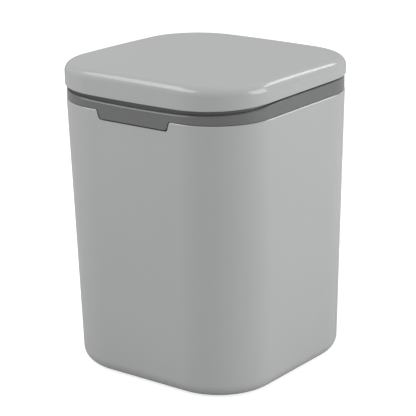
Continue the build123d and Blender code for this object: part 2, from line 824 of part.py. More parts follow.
pads = pad_places()
nodes = {
    "bucket": bucket_shell(),
    "foot_pad_front_left": foot_pad(*pads[0]),
    "foot_pad_front_right": foot_pad(*pads[1]),
    "foot_pad_rear_left": foot_pad(*pads[2]),
    "foot_pad_rear_right": foot_pad(*pads[3]),
    "collar": collar_ring(),
    "hinge_pin": hinge_pin(),
    "lid_spring": lid_spring(),
    "latch_housing": catch_case(),
    "latch_cap": catch_cap(),
    "latch_screws": catch_screws(),
    "latch_plunger": catch_plunger(),
    "latch_spring": catch_spring(),
    "latch_track_pin": track_pin(),
    "latch_jaw_left": catch_jaw(-1),
    "latch_jaw_right": catch_jaw(1),
    "jaw_pins": jaw_pins(),
    "lid_shell": lid_shell(),
    "lid_liner": lid_liner(),
    "liner_screws": liner_screws(),
    "lid_seal": lid_seal(),
    "lid_striker": lid_striker(),
    "striker_screws": striker_screws(),
}

os.makedirs("parts", exist_ok=True)
for name, shape in nodes.items():
    export_step(as_solids(shape), f"parts/{name}.step")
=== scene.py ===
from math import cos, pi, radians, sin, sqrt

import bmesh
import bpy
from mathutils import Matrix, Vector


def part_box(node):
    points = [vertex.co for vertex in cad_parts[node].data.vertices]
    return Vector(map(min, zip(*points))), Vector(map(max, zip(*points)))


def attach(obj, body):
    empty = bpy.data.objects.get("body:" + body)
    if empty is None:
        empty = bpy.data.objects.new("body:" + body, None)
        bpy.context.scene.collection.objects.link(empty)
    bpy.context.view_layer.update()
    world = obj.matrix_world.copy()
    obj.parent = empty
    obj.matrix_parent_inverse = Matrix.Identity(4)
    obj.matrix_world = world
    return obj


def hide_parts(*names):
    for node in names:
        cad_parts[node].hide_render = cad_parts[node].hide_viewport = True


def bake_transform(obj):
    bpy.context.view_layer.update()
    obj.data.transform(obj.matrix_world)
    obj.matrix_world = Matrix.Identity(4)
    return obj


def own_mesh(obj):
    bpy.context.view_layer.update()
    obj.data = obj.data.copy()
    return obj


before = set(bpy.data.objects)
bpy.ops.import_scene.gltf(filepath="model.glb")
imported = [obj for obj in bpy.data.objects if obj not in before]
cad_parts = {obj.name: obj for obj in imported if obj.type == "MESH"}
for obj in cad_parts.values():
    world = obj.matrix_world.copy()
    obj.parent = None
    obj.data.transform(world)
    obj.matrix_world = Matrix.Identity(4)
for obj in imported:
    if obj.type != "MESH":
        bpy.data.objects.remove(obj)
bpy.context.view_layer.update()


# Camera: a long lens from the front right, looking down by 18 degrees and rolled by one. Its angles,
# distance and lens come from fitting the bin's own edges to the photograph.
camera_turn = radians(37.55)
camera_rise = radians(18.0)
camera_roll = radians(-1.04)
camera_distance = 1.1539
camera_aim = Vector((0, 0, 0.08925))
towards_camera = Vector((
    sin(camera_turn) * cos(camera_rise), -cos(camera_turn) * cos(camera_rise), sin(camera_rise),
))
level_right = Vector((cos(camera_turn), sin(camera_turn), 0))
level_up = towards_camera.cross(level_right)
view_right = cos(camera_roll) * level_right + sin(camera_roll) * level_up
view_up = cos(camera_roll) * level_up - sin(camera_roll) * level_right

camera_data = bpy.data.cameras.new("camera")
camera_data.lens = 152.15
camera_data.sensor_width = 36
camera_data.shift_x = -0.0023
camera_data.shift_y = 0.0360
camera = bpy.data.objects.new("camera", camera_data)
bpy.context.scene.collection.objects.link(camera)
facing = Matrix((view_right, view_up, towards_camera)).transposed()
camera.matrix_world = Matrix.Translation(camera_aim + camera_distance * towards_camera) @ facing.to_4x4()
bpy.context.scene.camera = camera
bpy.context.scene.view_settings.view_transform = "Standard"


# Studio: a pale room with four softboxes round a pale table. Two light the faces from beyond the near
# corner, so that corner is a little darker, and two draw the bright lines on the edges. The camera sees
# the room and the table brighter than they light the bin.
softbox_distance = 1.5


def softbox(name, direction, width, height, power):
    """Area lamp in the given direction from the bin, turned to it."""
    lamp_data = bpy.data.lights.new(name, "AREA")
    lamp_data.shape = "RECTANGLE"
    lamp_data.size = width
    lamp_data.size_y = height
    lamp_data.energy = power
    lamp = bpy.data.objects.new(name, lamp_data)
    bpy.context.scene.collection.objects.link(lamp)
    direction = Vector(direction).normalized()
    turned = direction.to_track_quat("Z", "Y").to_matrix().to_4x4()
    lamp.matrix_world = Matrix.Translation(camera_aim + softbox_distance * direction) @ turned


softbox("softbox_front", (-0.40, -0.80, 0.85), width=0.9, height=0.6, power=7.4)
softbox("softbox_side", (1.00, 0.40, 0.28), width=0.9, height=0.9, power=10.9)
softbox("softbox_rear", (0.31, 0.75, 0.60), width=0.8, height=0.25, power=3.0)
softbox("softbox_left", (-0.58, -0.31, 0.754), width=0.55, height=0.55, power=2.9)

room_level = 0.50
room_seen = 1.0
world = bpy.data.worlds.new("white_room")
world.use_nodes = True
bpy.context.scene.world = world
room_light = world.node_tree.nodes["Background"]
room_light.inputs["Color"].default_value = (1, 1, 1, 1)
room_rays = world.node_tree.nodes.new("ShaderNodeLightPath")
room_strength = world.node_tree.nodes.new("ShaderNodeMapRange")
room_strength.inputs["To Min"].default_value = room_level
room_strength.inputs["To Max"].default_value = room_seen
world.node_tree.links.new(room_rays.outputs["Is Camera Ray"], room_strength.inputs["Value"])
world.node_tree.links.new(room_strength.outputs["Result"], room_light.inputs["Strength"])

table_reach = 4
table_tone = 0.58
table_glow = 0.75
table = bmesh.new()
bmesh.ops.create_grid(table, x_segments=1, y_segments=1, size=table_reach)
table_mesh = bpy.data.meshes.new("table")
table.to_mesh(table_mesh)
table.free()
table_top = bpy.data.objects.new("table", table_mesh)
bpy.context.scene.collection.objects.link(table_top)
table_paint = bpy.data.materials.new("white_table")
table_paint.use_nodes = True
table_nodes = table_paint.node_tree.nodes
table_links = table_paint.node_tree.links
matt = table_nodes["Principled BSDF"]
matt.inputs["Base Color"].default_value = (table_tone, table_tone, table_tone, 1)
matt.inputs["Roughness"].default_value = 0.9
matt.inputs["Specular IOR Level"].default_value = 0.0
glow = table_nodes.new("ShaderNodeEmission")
glow_rays = table_nodes.new("ShaderNodeLightPath")
glow_level = table_nodes.new("ShaderNodeMath")
glow_level.operation = "MULTIPLY"
glow_level.inputs[1].default_value = table_glow
table_links.new(glow_rays.outputs["Is Camera Ray"], glow_level.inputs[0])
table_links.new(glow_level.outputs[0], glow.inputs["Strength"])
lit_table = table_nodes.new("ShaderNodeAddShader")
table_links.new(matt.outputs["BSDF"], lit_table.inputs[0])
table_links.new(glow.outputs["Emission"], lit_table.inputs[1])
table_links.new(lit_table.outputs["Shader"], table_nodes["Material Output"].inputs["Surface"])
table_mesh.materials.append(table_paint)


# Bucket: one injection moulding in glossy light grey plastic, 1.8 mm thick, which leans in by 3.3 mm
# towards its base. The rim has a notch for the collar's tab, and the base has four round recesses.
mm = 0.001
past = 1
off_plane = 0.02
level_step = 0.05
weld_distance = 0.0005
corner_steps = 24
straight_least = 10
half_width = 75.0
rim_z = 177.9
rim_corner = 40.0
base_z = 0.25
base_corner = 40.5
wall_lean = 3.3
bucket_wall = 1.8
bucket_floor = 2.2
base_round = 9.0
rim_chamfer = 0.5
rim_round = 0.5


def plan_loop(shape, inset, z, corner=None, side_cuts=0):
    """Edges of the bin's rounded square at height z, moved in by inset from the rim's outer face."""
    corner = rim_corner - inset if corner is None else corner
    before = set(shape.faces)
    square = bmesh.ops.create_grid(shape, x_segments=1, y_segments=1, size=1)["verts"]
    reach = (half_width - inset) * mm
    bmesh.ops.scale(shape, vec=(reach, reach, 1), verts=square)
    bmesh.ops.translate(shape, vec=(0, 0, z * mm), verts=square)
    bmesh.ops.bevel(
        shape, geom=square, offset=corner * mm, offset_type="OFFSET", segments=corner_steps, profile=0.5,
        affect="VERTICES", material=-1,
    )
    face = [f for f in shape.faces if f not in before][0]
    edges = list(face.edges)
    bmesh.ops.delete(shape, geom=[face], context="FACES_ONLY")
    if side_cuts:
        sides = [e for e in edges if e.calc_length() > straight_least * mm]
        cut = bmesh.ops.subdivide_edges(shape, edges=sides, cuts=side_cuts)["geom_inner"]
        verts = {v for e in edges for v in e.verts} | {g for g in cut if isinstance(g, bmesh.types.BMVert)}
        edges = list({e for v in verts for e in v.link_edges})
    return edges


def skin(shape, loops, closed=False):
    """Walls between each loop and the next, and from the last back to the first when closed. Loops of one
    plane are set apart by level_step where they are made.
    """
    pairs = list(zip(loops, loops[1:]))
    if closed:
        pairs.append((loops[-1], loops[0]))
    for first, second in pairs:
        bmesh.ops.bridge_loops(shape, edges=first + second)


def arc(middle_inset, middle_z, radius, start, end, steps):
    """(inset, z) points on a quarter-round in the wall's section; 0 degrees faces outwards, 90 up."""
    return [
        (middle_inset - radius * cos(radians(start + (end - start) * i / steps)),
         middle_z + radius * sin(radians(start + (end - start) * i / steps)))
        for i in range(steps + 1)
    ]


def box_into(shape, low, high):
    """Box between two corners, in millimetres."""
    corners = bmesh.ops.create_cube(shape, size=1)["verts"]
    bmesh.ops.scale(shape, vec=[(b - a) * mm for a, b in zip(low, high)], verts=corners)
    bmesh.ops.translate(shape, vec=[(a + b) / 2 * mm for a, b in zip(low, high)], verts=corners)


def rod_into(shape, axis, radius, start, end, steps=48):
    """Round rod from one point to another along X or Z, in millimetres."""
    start, end = Vector(start), Vector(end)
    length = (end - start).length
    rod = bmesh.ops.create_cone(
        shape, cap_ends=True, segments=steps, radius1=radius * mm, radius2=radius * mm, depth=length * mm,
    )["verts"]
    if axis == "X":
        bmesh.ops.rotate(shape, cent=(0, 0, 0), matrix=Matrix.Rotation(pi / 2, 3, "Y"), verts=rod)
    bmesh.ops.translate(shape, vec=(start + end) / 2 * mm, verts=rod)


def prism_into(shape, points, push):
    """Prism from a flat outline of 3-D points and a push vector, in millimetres."""
    corners = [shape.verts.new(Vector(p) * mm) for p in points]
    face = shape.faces.new(corners)
    pushed = bmesh.ops.extrude_face_region(shape, geom=[face])["geom"]
    moved = [g for g in pushed if isinstance(g, bmesh.types.BMVert)]
    bmesh.ops.translate(shape, vec=Vector(push) * mm, verts=moved)
    bmesh.ops.recalc_face_normals(shape, faces=shape.faces)


def object_from(shape, name):
    """A linked object from a bmesh whose faces are turned outwards."""
    bmesh.ops.recalc_face_normals(shape, faces=shape.faces)
    mesh = bpy.data.meshes.new(name)
    shape.to_mesh(mesh)
    shape.free()
    piece = bpy.data.objects.new(name, mesh)
    bpy.context.scene.collection.objects.link(piece)
    return piece


def combine(piece, tool_shape, operation):
    """Joins a shape to the piece, or cuts it out, and keeps the plain mesh."""
    tool = object_from(tool_shape, "tool")
    step = piece.modifiers.new("step", "BOOLEAN")
    step.operation = operation
    step.solver = "EXACT"
    step.use_self = True
    step.object = tool
    baked = bpy.data.meshes.new_from_object(piece.evaluated_get(bpy.context.evaluated_depsgraph_get()))
    piece.modifiers.remove(step)
    old = piece.data
    piece.data = baked
    bpy.data.meshes.remove(old)
    bpy.data.objects.remove(tool)


def soften(piece, sharp_angle=32):
    """Smooth faces, with a crisp edge where the surface turns by more than sharp_angle degrees."""
    shape = bmesh.new()
    shape.from_mesh(piece.data)
    bmesh.ops.remove_doubles(shape, verts=shape.verts, dist=weld_distance * mm)
    for face in shape.faces:
        face.smooth = True
    for edge in shape.edges:
        edge.smooth = edge.calc_face_angle(0) < radians(sharp_angle)
    shape.to_mesh(piece.data)
    shape.free()
    weighting = piece.modifiers.new("even shine", "WEIGHTED_NORMAL")
    weighting.keep_sharp = True


def moulded_plastic(name, colour, roughness, ripple, grain, grain_size):
    """Coloured plastic: slow tone drift, a faint ripple from the tool's polish, and a fine grain."""
    material = bpy.data.materials.new(name)
    material.use_nodes = True
    nodes, links = material.node_tree.nodes, material.node_tree.links
    plastic = nodes["Principled BSDF"]
    place = nodes.new("ShaderNodeTexCoord")
    drift = nodes.new("ShaderNodeTexNoise")
    drift.inputs["Scale"].default_value = 14
    drift.inputs["Detail"].default_value = 2
    tones = nodes.new("ShaderNodeValToRGB")
    tones.color_ramp.elements[0].position = 0.3
    tones.color_ramp.elements[0].color = [c * 0.992 for c in colour] + [1]
    tones.color_ramp.elements[1].position = 0.7
    tones.color_ramp.elements[1].color = [min(1, c * 1.008) for c in colour] + [1]
    links.new(place.outputs["Object"], drift.inputs["Vector"])
    links.new(drift.outputs["Fac"], tones.inputs["Fac"])
    links.new(tones.outputs["Color"], plastic.inputs["Base Color"])
    handling = nodes.new("ShaderNodeTexNoise")
    handling.inputs["Scale"].default_value = 45
    handling.inputs["Detail"].default_value = 5
    shine = nodes.new("ShaderNodeMapRange")
    shine.inputs["To Min"].default_value = roughness - 0.012
    shine.inputs["To Max"].default_value = roughness + 0.012
    links.new(place.outputs["Object"], handling.inputs["Vector"])
    links.new(handling.outputs["Fac"], shine.inputs["Value"])
    links.new(shine.outputs["Result"], plastic.inputs["Roughness"])
    waves = nodes.new("ShaderNodeTexNoise")
    waves.inputs["Scale"].default_value = 160
    waves.inputs["Detail"].default_value = 2
    grains = nodes.new("ShaderNodeTexNoise")
    grains.inputs["Scale"].default_value = 1000 / grain_size
    grains.inputs["Detail"].default_value = 3
    wave_bump = nodes.new("ShaderNodeBump")
    wave_bump.inputs["Strength"].default_value = ripple
    wave_bump.inputs["Distance"].default_value = 0.00005
    grain_bump = nodes.new("ShaderNodeBump")
    grain_bump.inputs["Strength"].default_value = grain
    grain_bump.inputs["Distance"].default_value = 0.0001
    links.new(place.outputs["Object"], waves.inputs["Vector"])
    links.new(place.outputs["Object"], grains.inputs["Vector"])
    links.new(waves.outputs["Fac"], wave_bump.inputs["Height"])
    links.new(grains.outputs["Fac"], grain_bump.inputs["Height"])
    links.new(wave_bump.outputs["Normal"], grain_bump.inputs["Normal"])
    links.new(grain_bump.outputs["Normal"], plastic.inputs["Normal"])
    return material


light_grey = (0.455, 0.460, 0.462)
gloss_grey = moulded_plastic(
    "gloss_light_grey", light_grey, roughness=0.17, ripple=0.05, grain=0.02, grain_size=0.5,
)

shape = bmesh.new()
wall_height = rim_z - base_z
lean_at_round = wall_lean * (1 - base_round / wall_height)
corner_at_round = rim_corner + (base_corner - rim_corner) * (1 - base_round / wall_height)
loops = []
for inset, z in arc(lean_at_round + base_round, base_z + base_round, base_round, -90, -1, 10):
    loops.append(plan_loop(shape, inset, z, corner_at_round + lean_at_round - inset))
loops += [plan_loop(shape, 0, rim_z - rim_chamfer), plan_loop(shape, rim_chamfer, rim_z)]
rim_inside = arc(bucket_wall - rim_round, rim_z - rim_round - level_step, rim_round, 90, 180, 3)
loops += [plan_loop(shape, inset, z) for inset, z in rim_inside]
floor_z = base_z + bucket_floor
floor_round = base_round - bucket_wall
inner_lean = wall_lean * (1 - floor_round / wall_height) + bucket_wall
for inset, z in arc(inner_lean + floor_round, floor_z + floor_round, floor_round, 0, -90, 8):
    loops.append(plan_loop(shape, inset, z, corner_at_round - bucket_wall + inner_lean - inset))
skin(shape, loops)
bmesh.ops.edgeloop_fill(shape, edges=loops[0])
bmesh.ops.edgeloop_fill(shape, edges=loops[-1])
bucket = object_from(shape, "bucket_moulding")

tab_half = 27.9
tab_foot_half = 26.0
tab_foot_z = rim_z - 5.4
tab_gap = 0.85
tab_foot_corner = 1.75
tab_shoulder = 1.0
tab_margin = 6
notch_past = 5
notch_front = 2
notch_depth = 6
same_height = 1e-7


def tab_outline(shape, gap, shoulder_z, top_z, y_low, y_high):
    """The tab's outline with round corners and shoulders, pushed back along Y."""
    half, foot_half, foot = tab_half + gap, tab_foot_half + gap, tab_foot_z - gap
    reach = half + tab_margin
    sides = [(-reach, top_z), (-reach, shoulder_z), (-half, shoulder_z), (-foot_half, foot)]
    sides += [(-x, z) for x, z in reversed(sides)]
    corners = [shape.verts.new((x * mm, y_low * mm, z * mm)) for x, z in sides]
    face = shape.faces.new(corners)
    bmesh.ops.bevel(
        shape, geom=[corners[2], corners[5]], offset=tab_shoulder * mm, offset_type="OFFSET", segments=6,
        profile=0.5, affect="VERTICES", material=-1,
    )
    low = [v for v in shape.verts if abs(v.co.z - foot * mm) < same_height]
    bmesh.ops.bevel(
        shape, geom=low, offset=tab_foot_corner * mm, offset_type="OFFSET", segments=8, profile=0.5,
        affect="VERTICES", material=-1,
    )
    pushed = bmesh.ops.extrude_face_region(shape, geom=list(shape.faces))["geom"]
    moved = [g for g in pushed if isinstance(g, bmesh.types.BMVert)]
    bmesh.ops.translate(shape, vec=(0, (y_high - y_low) * mm, 0), verts=moved)


notch = bmesh.new()
tab_outline(
    notch, tab_gap, shoulder_z=rim_z + off_plane, top_z=rim_z + notch_past,
    y_low=-half_width - notch_front, y_high=-half_width + notch_depth,
)
combine(bucket, notch, "DIFFERENCE")

pad_reach = 43.0
pad_radius = 7.0
pad_top_z = 1.6
pad_gap = 0.12
recesses = bmesh.new()
for x in (-pad_reach, pad_reach):
    for y in (-pad_reach, pad_reach):
        rod_into(recesses, "Z", pad_radius + pad_gap, (x, y, base_z - past), (x, y, pad_top_z))
combine(bucket, recesses, "DIFFERENCE")
soften(bucket)
bucket.data.materials.append(gloss_grey)
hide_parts("bucket")
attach(bucket, "bucket")


# Foot pads: four discs of soft grey rubber with a small round at the foot, glued into recesses in
# the base. They stand out of it by a quarter of a millimetre.
def soft_rubber(name, colour, speck_size):
    """Matt rubber with fine specks and a dusty, uneven surface."""
    material = bpy.data.materials.new(name)
    material.use_nodes = True
    nodes, links = material.node_tree.nodes, material.node_tree.links
    rubber = nodes["Principled BSDF"]
    rubber.inputs["Specular IOR Level"].default_value = 0.35
    place = nodes.new("ShaderNodeTexCoord")
    specks = nodes.new("ShaderNodeTexNoise")
    specks.inputs["Scale"].default_value = 1000 / speck_size
    specks.inputs["Detail"].default_value = 6
    tones = nodes.new("ShaderNodeValToRGB")
    tones.color_ramp.elements[0].position = 0.35
    tones.color_ramp.elements[0].color = [c * 0.85 for c in colour] + [1]
    tones.color_ramp.elements[1].position = 0.75
    tones.color_ramp.elements[1].color = [c * 1.15 for c in colour] + [1]
    feel = nodes.new("ShaderNodeMapRange")
    feel.inputs["To Min"].default_value = 0.62
    feel.inputs["To Max"].default_value = 0.80
    nap = nodes.new("ShaderNodeBump")
    nap.inputs["Strength"].default_value = 0.25
    nap.inputs["Distance"].default_value = 0.0001
    links.new(place.outputs["Object"], specks.inputs["Vector"])
    links.new(specks.outputs["Fac"], tones.inputs["Fac"])
    links.new(tones.outputs["Color"], rubber.inputs["Base Color"])
    links.new(specks.outputs["Fac"], feel.inputs["Value"])
    links.new(feel.outputs["Result"], rubber.inputs["Roughness"])
    links.new(specks.outputs["Fac"], nap.inputs["Height"])
    links.new(nap.outputs["Normal"], rubber.inputs["Normal"])
    return material


pad_round = 0.3
pad_rubber = soft_rubber("pad_rubber", (0.075, 0.075, 0.078), speck_size=0.6)
for node in ("foot_pad_front_left", "foot_pad_front_right", "foot_pad_rear_left", "foot_pad_rear_right"):
    low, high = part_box(node)
    shape = bmesh.new()
    middle = (low + high) / 2 / mm
    rod_into(shape, "Z", pad_radius, (middle.x, middle.y, 0), (middle.x, middle.y, pad_top_z), steps=64)
    foot_edges = [e for e in shape.edges if all(v.co.z < pad_round * mm for v in e.verts)]
    bmesh.ops.bevel(
        shape, geom=foot_edges, offset=pad_round * mm, offset_type="OFFSET", segments=3, profile=0.5,
        affect="EDGES", material=-1,
    )
    pad = object_from(shape, node + "_disc")
    soften(pad)
    pad.data.materials.append(pad_rubber)
    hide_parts(node)
    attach(pad, "bucket")


# Collar: a separate moulding in mid grey satin plastic that drops on the rim. Its band carries on the
# bucket's face, dips towards the front and ends in the tab. A riser and the seal's upstand stand inside
# it, a skirt holds it in the bucket, two ears at the back carry the hinge, and a shelf carries the catch.
seat_z = 178.15
seat_chamfer = 0.25
band_top = 187.0
band_chamfer = 0.6
band_inset = 0.3
dip_depth = 4.4
dip_start_y = -26.0
dip_arch = 0.22
dip_arch_half = 42.0
drop_softness = 0.015
side_cuts = 9
ledge_thickness = 2.0
ledge_inset = 2.0
riser_outer = 2.9
riser_inner = 4.1
riser_top = 189.4
riser_round = 0.4
riser_fillet = 0.3
upstand_outer = 5.7
upstand_inner = 7.7
upstand_top = 189.6
upstand_foot = 179.6
upstand_round = 0.5
upstand_fillet = 0.4
skirt_outer = 2.6
skirt_inner = 4.4
skirt_foot = 160.0
skirt_lead = 0.7
skirt_taper = 0.6
axis_y = 77.0
axis_z = 187.0
barrel_radius = 3.6
ear_inner = 20.0
ear_outer = 28.0
pin_radius = 1.25
catch_y = -59.5


def front_drop(x, y, depth, start_y, arch, arch_half):
    """How far an edge lies below its height at the sides: it sinks to the front, most in the middle."""
    forward = (start_y - y) / (start_y + half_width)
    forward = (forward + sqrt(forward ** 2 + drop_softness)) / 2
    return depth * forward * (1 - arch * min(1, (x / arch_half) ** 2))


def dipped_loop(shape, inset, z):
    """A loop that sinks towards the front with the band's top surface."""
    edges = plan_loop(shape, inset, z, side_cuts=side_cuts)
    for vert in {v for e in edges for v in e.verts}:
        x, y = vert.co.xy / mm
        vert.co.z -= front_drop(x, y, dip_depth, dip_start_y, dip_arch, dip_arch_half) * mm
    return edges


def level_loop(shape, inset, z):
    """A level loop with the same points."""
    return plan_loop(shape, inset, z, side_cuts=side_cuts)


def ring_top(shape, outer, inner, top, edge_round):
    """Level loops over the rounded top of a ring that stands inside the band."""
    over = arc(outer + edge_round, top - edge_round, edge_round, 0, 90, 3)
    over += arc(inner - edge_round, top - edge_round - level_step, edge_round, 90, 180, 3)
    return [level_loop(shape, inset, z) for inset, z in over]


shape = bmesh.new()
loops = [
    level_loop(shape, band_inset + seat_chamfer, seat_z),
    level_loop(shape, band_inset, seat_z + seat_chamfer),
    dipped_loop(shape, band_inset, band_top - band_chamfer),
    dipped_loop(shape, band_inset + band_chamfer, band_top),
    dipped_loop(shape, riser_outer - riser_fillet, band_top),
    dipped_loop(shape, riser_outer, band_top + riser_fillet),
    *ring_top(shape, riser_outer, riser_inner, riser_top, riser_round),
    dipped_loop(shape, riser_inner, band_top + riser_fillet),
    dipped_loop(shape, riser_inner + riser_fillet, band_top),
    dipped_loop(shape, upstand_outer - upstand_fillet, band_top),
    dipped_loop(shape, upstand_outer, band_top + upstand_fillet),
    *ring_top(shape, upstand_outer, upstand_inner, upstand_top, upstand_round),
    level_loop(shape, upstand_inner, upstand_foot),
    level_loop(shape, upstand_outer, upstand_foot + level_step),
    dipped_loop(shape, upstand_outer, band_top - ledge_thickness),
    dipped_loop(shape, skirt_inner, band_top - ledge_thickness),
    level_loop(shape, skirt_inner, skirt_foot + skirt_lead),
    level_loop(shape, skirt_inner - skirt_taper, skirt_foot),
    level_loop(shape, skirt_outer + skirt_taper, skirt_foot + level_step),
    level_loop(shape, skirt_outer, skirt_foot + skirt_lead),
    dipped_loop(shape, skirt_outer, band_top - ledge_thickness),
    dipped_loop(shape, ledge_inset, band_top - ledge_thickness),
    level_loop(shape, ledge_inset, seat_z),
]
skin(shape, loops, closed=True)
collar = object_from(shape, "collar_moulding")

tab_root = 2.0
tab_back = 3.5
tab = bmesh.new()
tab_outline(
    tab, 0, shoulder_z=seat_z + off_plane, top_z=seat_z + tab_root,
    y_low=-half_width + band_inset - off_plane, y_high=-half_width + tab_back,
)
combine(collar, tab, "UNION")

shelf_half = 17.0
shelf_low = 180.0
shelf_top = 182.0
shelf_front_y = -71.5
shelf_rear_y = -50.5
gusset_thickness = 1.6
gusset_lip = 1
gusset_drop = 12
catch_screw_offset = 11.5
boss_radius = 2.6
boss_drop = 5
bite = 1
shelf = bmesh.new()
box_into(shelf, (-shelf_half, shelf_front_y, shelf_low), (shelf_half, shelf_rear_y, shelf_top))
for side in (-1, 1):
    x = side * (shelf_half - gusset_thickness / 2) - gusset_thickness / 2
    prism_into(
        shelf,
        [(x, shelf_front_y, shelf_low + bite), (x, shelf_rear_y, shelf_low + bite),
         (x, shelf_rear_y, shelf_low - gusset_lip), (x, shelf_front_y, shelf_low - gusset_drop)],
        (gusset_thickness, 0, 0),
    )
    x = side * catch_screw_offset
    rod_into(shelf, "Z", boss_radius, (x, catch_y, shelf_low - boss_drop), (x, catch_y, shelf_low + bite))
combine(collar, shelf, "UNION")

spring_radius = 2.6
spring_wire = 1.0
spring_half_span = 7.8
lower_leg = 7.6
lower_leg_angle = radians(-65)
leg_hole_gap = 0.15
leg_hole_past = 0.4


def leg_hole(shape):
    """Blind hole in the band's back wall for the lid spring's lower leg."""
    out = Vector((0, cos(lower_leg_angle), sin(lower_leg_angle)))
    way = Vector((0, sin(lower_leg_angle), -cos(lower_leg_angle)))
    begin = Vector((-spring_half_span, axis_y, axis_z)) + spring_radius * out
    radius = spring_wire / 2 + leg_hole_gap
    depth = lower_leg + leg_hole_past
    hole = bmesh.ops.create_cone(
        shape, cap_ends=True, segments=24, radius1=radius * mm, radius2=radius * mm, depth=depth * mm,
    )["verts"]
    bmesh.ops.rotate(shape, cent=(0, 0, 0), matrix=way.to_track_quat("Z", "Y").to_matrix(), verts=hole)
    bmesh.ops.translate(shape, vec=(begin + way * depth / 2) * mm, verts=hole)


ear_web_front_y = 74.0
ear_web_rear_y = 75.2
ear_web_foot = 0.6
ear_web_top = 0.2
barrel_side = barrel_radius * 0.92
barrel_shoulder = barrel_radius * 0.4
stop_reach = 6.4
stop_rise = 1.0
stop_drop = barrel_radius * 0.7
ears = bmesh.new()
for side in (-1, 1):
    low, high = sorted((side * ear_inner, side * ear_outer))
    rod_into(ears, "X", barrel_radius, (low, axis_y, axis_z), (high, axis_y, axis_z), steps=64)
    prism_into(
        ears,
        [(low, ear_web_front_y, seat_z + ear_web_foot), (low, ear_web_rear_y, seat_z + ear_web_foot),
         (low, axis_y + barrel_side, axis_z - barrel_shoulder), (low, axis_y, axis_z),
         (low, ear_web_front_y, band_top - ear_web_top)],
        (high - low, 0, 0),
    )
    box_into(ears, (low, axis_y, axis_z - stop_drop), (high, axis_y + stop_reach, axis_z + stop_rise))
combine(collar, ears, "UNION")

barrel_room = barrel_radius + 0.4
room = bmesh.new()
rod_into(room, "X", barrel_room, (-ear_inner, axis_y, axis_z), (ear_inner, axis_y, axis_z), steps=64)
combine(collar, room, "DIFFERENCE")

ear_bore = pin_radius + 0.03
case_hole_half = 7.3
case_hole_front_y = -65.1
case_hole_rear_y = -52.9
case_hole_past = 7
screw_hole_radius = 1.05
screw_hole_depth = 6.4
holes = bmesh.new()
leg_hole(holes)
rod_into(holes, "X", ear_bore, (-ear_outer - past, axis_y, axis_z), (ear_outer + past, axis_y, axis_z))
box_into(
    holes, (-case_hole_half, case_hole_front_y, shelf_low - case_hole_past),
    (case_hole_half, case_hole_rear_y, shelf_top + past),
)
for x in (-catch_screw_offset, catch_screw_offset):
    foot_z = shelf_top - screw_hole_depth
    rod_into(holes, "Z", screw_hole_radius, (x, catch_y, foot_z), (x, catch_y, shelf_top + past))
combine(collar, holes, "DIFFERENCE")
soften(collar)
mid_grey = (0.158, 0.160, 0.162)
satin_grey = moulded_plastic(
    "satin_mid_grey", mid_grey, roughness=0.24, ripple=0.04, grain=0.08, grain_size=0.35,
)
collar.data.materials.append(satin_grey)
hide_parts("collar")
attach(collar, "collar")


# Lid: one moulding in the bucket's glossy grey. Its crowned top falls towards the hinge, its skirt
# stands proud of the band and sags at the front, two knuckles at the back turn on the pin, and four
# posts inside take the liner's screws.
lid_side_bottom = 188.3
lid_edge_top = 200.4
lid_top_round = 5.7
lid_crown = 1.0
lid_fall = 3.3
lid_overhang = 0.7
lid_lower_round = 0.4
lid_lower_chamfer = 0.3
lid_wall = 2.0
lid_sag = 1.9
sag_start_y = -40.0
sag_arch = 0.25
sag_arch_half = 45.0
lid_inner_inset = lid_wall - lid_overhang
crown_rings = (0.93, 0.82, 0.68, 0.5, 0.3, 0.12)
crown_radius = ((half_width + lid_overhang) ** 2 + lid_crown ** 2) / (2 * lid_crown)


def crowned_loop(shape, inset, z, scale=1.0):
    """A scaled loop laid on the lid's crown, which rises to the lid's middle and to its front."""
    edges = plan_loop(shape, inset, z, side_cuts=side_cuts)
    for vert in {v for e in edges for v in e.verts}:
        vert.co.x *= scale
        vert.co.y *= scale
        out = vert.co.xy.length_squared / mm ** 2
        rise = lid_crown - out / (2 * crown_radius)
        fall = lid_fall * vert.co.y / mm / (2 * half_width)
        vert.co.z += (rise - fall) * mm
    return edges


def sagging_loop(shape, inset, z):
    """A loop that sags at the front with the lid's lower edge."""
    edges = plan_loop(shape, inset, z, side_cuts=side_cuts)
    for vert in {v for e in edges for v in e.verts}:
        x, y = vert.co.xy / mm
        vert.co.z -= front_drop(x, y, lid_sag, sag_start_y, sag_arch, sag_arch_half) * mm
    return edges


def crowned_skin(shape, inset, edge_top, top_round):
    """Loops up a skirt, round its soft edge, and over the crown to the middle."""
    soft_edge = arc(inset + top_round, edge_top - top_round, top_round, 0, 90, 14)
    loops = [crowned_loop(shape, edge_inset, z) for edge_inset, z in soft_edge]
    loops += [crowned_loop(shape, inset + top_round, edge_top, scale) for scale in crown_rings]
    return loops


shape = bmesh.new()
round_inset = -lid_overhang + lid_lower_round
lower_edge = arc(round_inset, lid_side_bottom + lid_lower_round, lid_lower_round, -90, 0, 4)
outside = [sagging_loop(shape, inset, z) for inset, z in lower_edge]
outside += crowned_skin(shape, -lid_overhang, lid_edge_top, lid_top_round)
inside = [sagging_loop(shape, lid_inner_inset - lid_lower_chamfer, lid_side_bottom)]
inside += [sagging_loop(shape, lid_inner_inset, lid_side_bottom + lid_lower_chamfer)]
inside += crowned_skin(shape, lid_inner_inset, lid_edge_top - lid_wall, lid_top_round - lid_wall)
skin(shape, list(reversed(outside)) + inside)
bmesh.ops.edgeloop_fill(shape, edges=outside[-1])
bmesh.ops.edgeloop_fill(shape, edges=inside[-1])
lid = object_from(shape, "lid_moulding")

